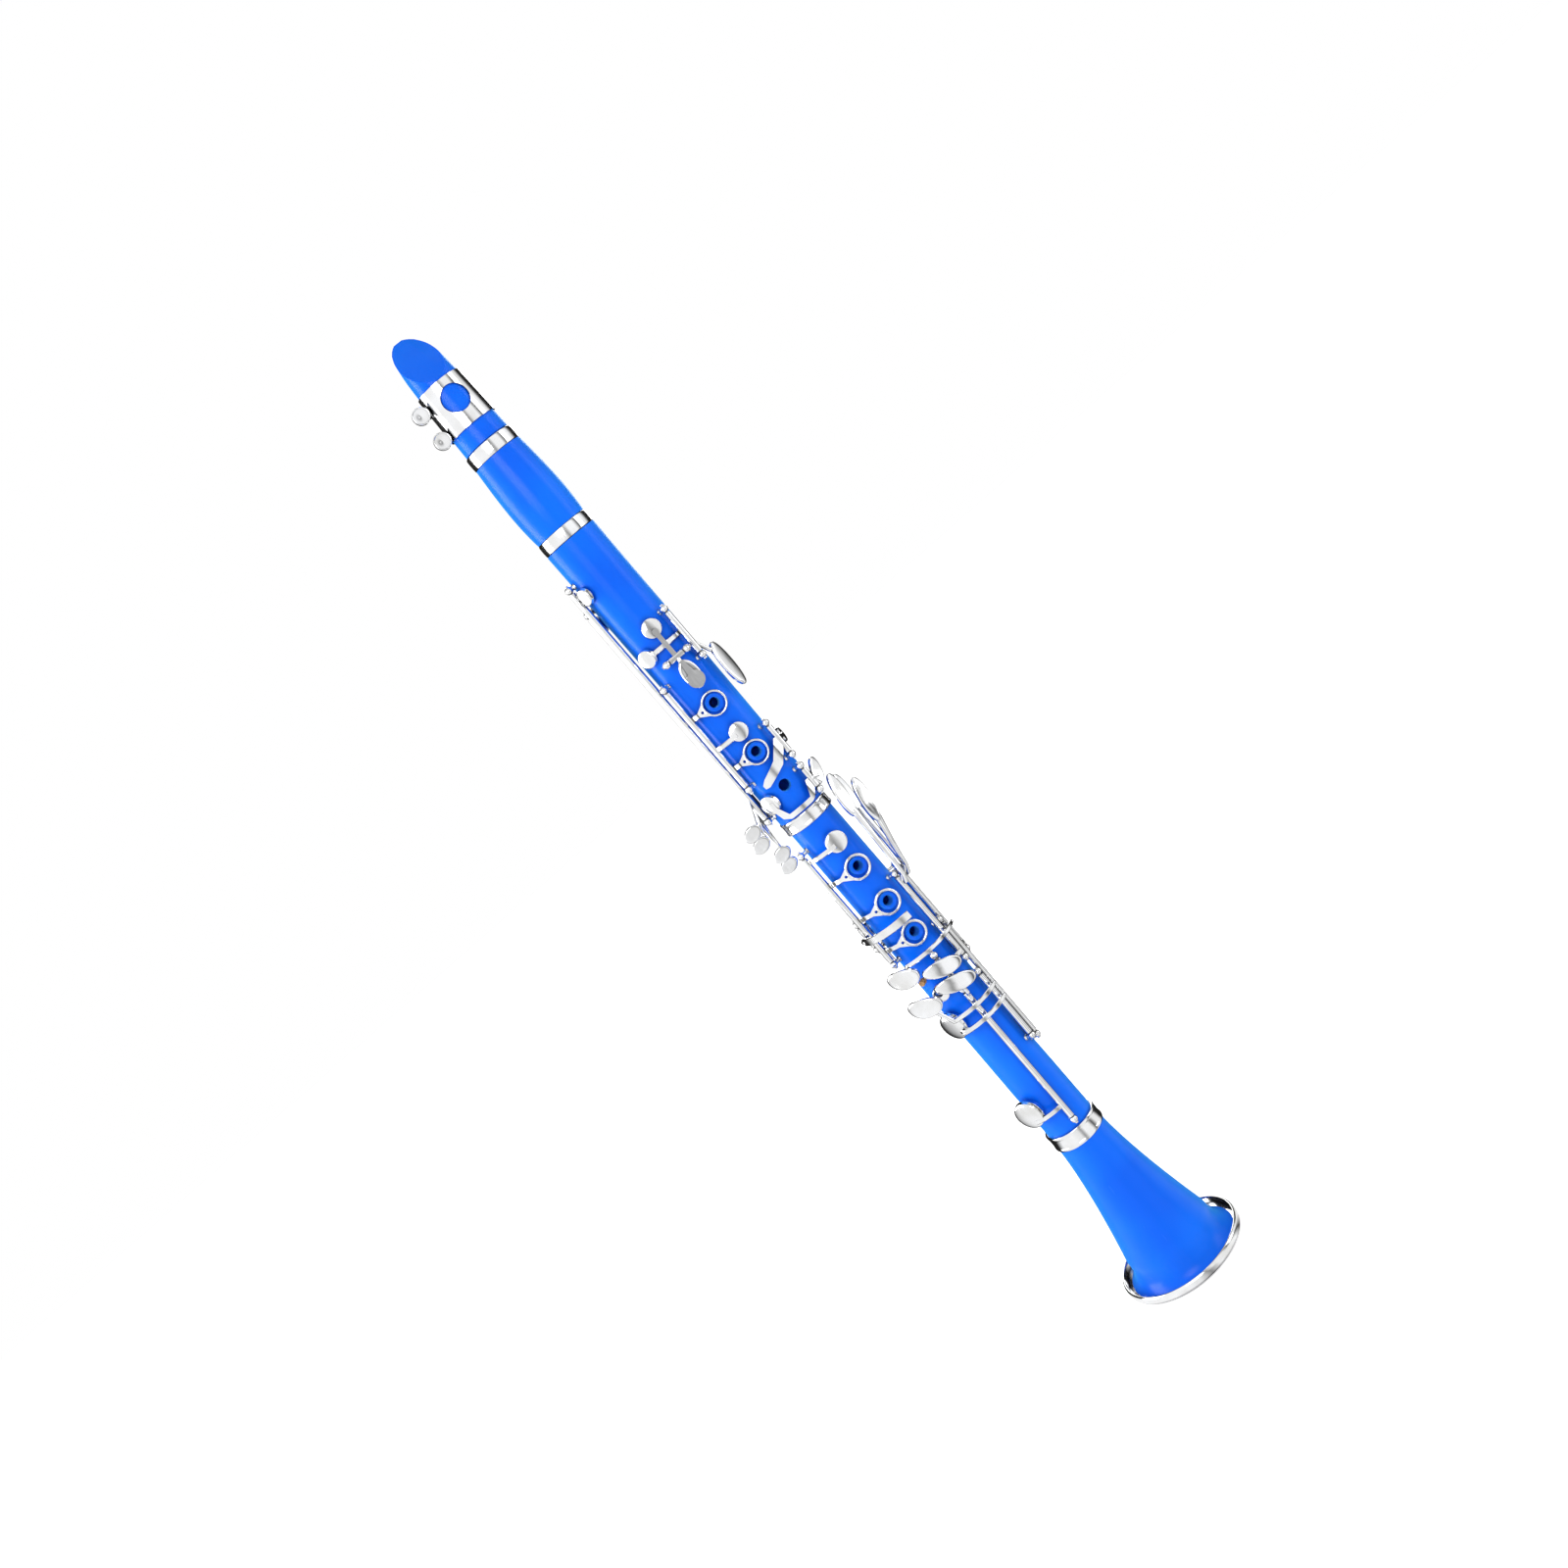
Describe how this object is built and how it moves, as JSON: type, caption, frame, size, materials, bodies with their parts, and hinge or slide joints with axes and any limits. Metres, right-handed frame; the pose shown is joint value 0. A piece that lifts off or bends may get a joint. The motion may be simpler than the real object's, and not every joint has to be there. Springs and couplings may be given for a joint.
{
  "type": "clarinet",
  "caption": "Soprano clarinet in coloured plastic with metal key work: bell, two keyed joints, barrel, and mouthpiece with reed and ligature.",
  "frame": {"origin": "centre of the bell's mouth, on the plane that the rim ring stands on", "axes": "+Z along the air column from the bell to the mouthpiece's tip; -Y is the front, where the upper joint's finger holes are; +X is the player's left-hand side; the back, with the thumb hole and the reed, is +Y"},
  "size_m": [0.079, 0.079, 0.6637],
  "materials": {
    "body_blue": "glossy coloured ABS",
    "nickel": "polished nickel silver",
    "cork": "fine sheet cork, waxed",
    "pad_skin": "thin skin over felt",
    "spring_steel": "blued steel wire",
    "cane": "cut cane"
  },
  "bodies": {
    "body": {"upper_joint": "body_blue", "lower_joint": "body_blue", "bell": "body_blue", "bell_socket_ring": "nickel", "bell_rim_ring": "nickel", "lower_joint_ring": "nickel", "body_corks": "cork", "upper_posts": "nickel", "lower_posts": "nickel", "upper_rods": "nickel", "lower_rods": "nickel", "needle_springs": "spring_steel", "register_tube": "nickel", "thumb_rest": "nickel", "thumb_rest_screws": "nickel"},
    "barrel": {"barrel": "body_blue", "barrel_rings": "nickel"},
    "mouthpiece": {"mouthpiece": "body_blue", "mouthpiece_cork": "cork", "reed": "cane", "ligature_band": "nickel"},
    "ligature_screw_upper": {"ligature_screw_upper": "nickel"},
    "ligature_screw_lower": {"ligature_screw_lower": "nickel"},
    "side_key_1": {"side_key_1": "nickel", "side_pad_1": "pad_skin"},
    "side_key_2": {"side_key_2": "nickel", "side_pad_2": "pad_skin"},
    "side_key_3": {"side_key_3": "nickel", "side_pad_3": "pad_skin"},
    "side_key_4": {"side_key_4": "nickel", "side_pad_4": "pad_skin"},
    "gsharp": {"gsharp_key": "nickel", "gsharp_pad": "pad_skin"},
    "upper_ring": {"upper_ring_key": "nickel", "upper_ring_pad": "pad_skin"},
    "eflat_sliver": {"eflat_sliver_key": "nickel", "eflat_sliver_pad": "pad_skin"},
    "csharp": {"csharp_key": "nickel", "csharp_pad": "pad_skin"},
    "thumb_ring": {"thumb_ring_key": "nickel"},
    "throat_a": {"throat_a_key": "nickel", "throat_a_pad": "pad_skin"},
    "register": {"register_key": "nickel", "register_pad": "pad_skin"},
    "lower_ring": {"lower_ring_key": "nickel", "lower_ring_pad": "pad_skin"},
    "b_sliver": {"b_sliver_key": "nickel", "b_sliver_pad": "pad_skin"},
    "left_fsharp": {"left_fsharp_lever": "nickel"},
    "left_f": {"left_f_lever": "nickel"},
    "left_e": {"left_e_lever": "nickel"},
    "low_e": {"low_e_key": "nickel", "low_e_pad": "pad_skin"},
    "low_f": {"low_f_key": "nickel", "low_f_pad": "pad_skin"},
    "low_fsharp": {"low_fsharp_key": "nickel", "low_fsharp_pad": "pad_skin"},
    "aflat": {"aflat_key": "nickel", "aflat_pad": "pad_skin"}
  },
  "joints": [
    {"name": "tuning_slide", "type": "slide", "parent": "body", "child": "barrel", "axis": [0, 0, 1], "range_m": [0, 0.003]},
    {"name": "mouthpiece_twist", "type": "hinge", "parent": "barrel", "child": "mouthpiece", "pos_m": [0, 0, 0.59], "axis": [0, 0, 1], "range_deg": [-15, 15]},
    {"name": "ligature_screw_upper_turn", "type": "hinge", "parent": "mouthpiece", "child": "ligature_screw_upper", "pos_m": [-0.0185, -0.00194, 0.6265], "axis": [-0.1045, 0.9945, 0], "continuous": true},
    {"name": "ligature_screw_lower_turn", "type": "hinge", "parent": "mouthpiece", "child": "ligature_screw_lower", "pos_m": [-0.0185, -0.00194, 0.6102], "axis": [-0.1045, 0.9945, 0], "continuous": true},
    {"name": "side_key_1_hinge", "type": "hinge", "parent": "body", "child": "side_key_1", "pos_m": [-0.01882, -0.00469, 0.43], "axis": [0, 0, -1], "range_deg": [0, 10], "stiffness_Nm_per_rad": 0.03, "springref_deg": -11.46},
    {"name": "side_key_2_hinge", "type": "hinge", "parent": "body", "child": "side_key_2", "pos_m": [-0.0194, 0, 0.422], "axis": [0, 0, 1], "range_deg": [0, 9], "stiffness_Nm_per_rad": 0.03, "springref_deg": -11.46},
    {"name": "side_key_3_hinge", "type": "hinge", "parent": "body", "child": "side_key_3", "pos_m": [-0.01882, 0.00469, 0.378], "axis": [0, 0, 1], "range_deg": [0, 9], "stiffness_Nm_per_rad": 0.03, "springref_deg": -11.46},
    {"name": "side_key_4_hinge", "type": "hinge", "parent": "body", "child": "side_key_4", "pos_m": [-0.01713, 0.00911, 0.368], "axis": [0, 0, 1], "range_deg": [0, 9], "stiffness_Nm_per_rad": 0.03, "springref_deg": -11.46},
    {"name": "gsharp_hinge", "type": "hinge", "parent": "body", "child": "gsharp", "pos_m": [0.01194, -0.01529, 0.456], "axis": [0, 0, 1], "range_deg": [0, 6], "stiffness_Nm_per_rad": 0.03, "springref_deg": -11.46},
    {"name": "upper_ring_hinge", "type": "hinge", "parent": "body", "child": "upper_ring", "pos_m": [-0.01589, -0.01113, 0.404], "axis": [0, 0, 1], "range_deg": [0, 5], "stiffness_Nm_per_rad": 0.03, "springref_deg": -11.46},
    {"name": "eflat_sliver_hinge", "type": "hinge", "parent": "body", "child": "eflat_sliver", "pos_m": [0.01372, -0.01372, 0.38], "axis": [0, 0, -1], "range_deg": [0, 6], "stiffness_Nm_per_rad": 0.03, "springref_deg": -11.46},
    {"name": "csharp_hinge", "type": "hinge", "parent": "body", "child": "csharp", "pos_m": [0.01298, -0.01442, 0.354], "axis": [0, 0, 1], "range_deg": [0, 5.5], "stiffness_Nm_per_rad": 0.03, "springref_deg": -11.46},
    {"name": "thumb_ring_hinge", "type": "hinge", "parent": "body", "child": "thumb_ring", "pos_m": [0.01113, 0.01589, 0.421], "axis": [0, 0, 1], "range_deg": [0, 7], "stiffness_Nm_per_rad": 0.03, "springref_deg": -11.46},
    {"name": "throat_a_hinge", "type": "hinge", "parent": "body", "child": "throat_a", "pos_m": [0, -0.0208, 0.449], "axis": [1, 0, 0], "range_deg": [0, 8], "stiffness_Nm_per_rad": 0.03, "springref_deg": -11.46},
    {"name": "register_hinge", "type": "hinge", "parent": "body", "child": "register", "pos_m": [0, 0.0208, 0.463], "axis": [-1, 0, 0], "range_deg": [0, 8], "stiffness_Nm_per_rad": 0.03, "springref_deg": -11.46},
    {"name": "lower_ring_hinge", "type": "hinge", "parent": "body", "child": "lower_ring", "pos_m": [-0.01798, -0.00584, 0.283], "axis": [0, 0, 1], "range_deg": [0, 5], "stiffness_Nm_per_rad": 0.03, "springref_deg": -11.46},
    {"name": "b_sliver_hinge", "type": "hinge", "parent": "body", "child": "b_sliver", "pos_m": [-0.01889, 0.00066, 0.263], "axis": [0, 0, 1], "range_deg": [0, 7], "stiffness_Nm_per_rad": 0.03, "springref_deg": -11.46},
    {"name": "left_fsharp_hinge", "type": "hinge", "parent": "body", "child": "left_fsharp", "pos_m": [0.01382, -0.01289, 0.25], "axis": [0, 0, 1], "range_deg": [0, 8], "stiffness_Nm_per_rad": 0.03, "springref_deg": -11.46},
    {"name": "left_f_hinge", "type": "hinge", "parent": "body", "child": "left_f", "pos_m": [0.01855, -0.00361, 0.25], "axis": [0, 0, 1], "range_deg": [0, 5], "stiffness_Nm_per_rad": 0.03, "springref_deg": -11.46},
    {"name": "left_e_hinge", "type": "hinge", "parent": "body", "child": "left_e", "pos_m": [0.01883, 0.00165, 0.25], "axis": [0, 0, 1], "range_deg": [0, 6], "stiffness_Nm_per_rad": 0.03, "springref_deg": -11.46},
    {"name": "low_e_hinge", "type": "hinge", "parent": "body", "child": "low_e", "pos_m": [0.00066, -0.01889, 0.16], "axis": [0, 0, -1], "range_deg": [0, 8], "stiffness_Nm_per_rad": 0.03, "springref_deg": -11.46},
    {"name": "low_f_hinge", "type": "hinge", "parent": "body", "child": "low_f", "pos_m": [0.01382, -0.01289, 0.187], "axis": [0, 0, -1], "range_deg": [0, 5], "stiffness_Nm_per_rad": 0.03, "springref_deg": -11.46},
    {"name": "low_fsharp_hinge", "type": "hinge", "parent": "body", "child": "low_fsharp", "pos_m": [0.00066, -0.01889, 0.224], "axis": [0, 0, -1], "range_deg": [0, 9], "stiffness_Nm_per_rad": 0.03, "springref_deg": -11.46},
    {"name": "aflat_hinge", "type": "hinge", "parent": "body", "child": "aflat", "pos_m": [0.01684, -0.00858, 0.2], "axis": [0, 0, -1], "range_deg": [0, 6.5], "stiffness_Nm_per_rad": 0.03, "springref_deg": -11.46}
  ],
  "couplings": [
    {"joint": "left_fsharp_hinge", "follows": "low_fsharp_hinge", "ratio": 0.88},
    {"joint": "left_f_hinge", "follows": "low_f_hinge", "ratio": 1},
    {"joint": "left_e_hinge", "follows": "low_e_hinge", "ratio": 0.74},
    {"joint": "thumb_ring_hinge", "follows": "upper_ring_hinge", "ratio": 1.39}
  ]
}
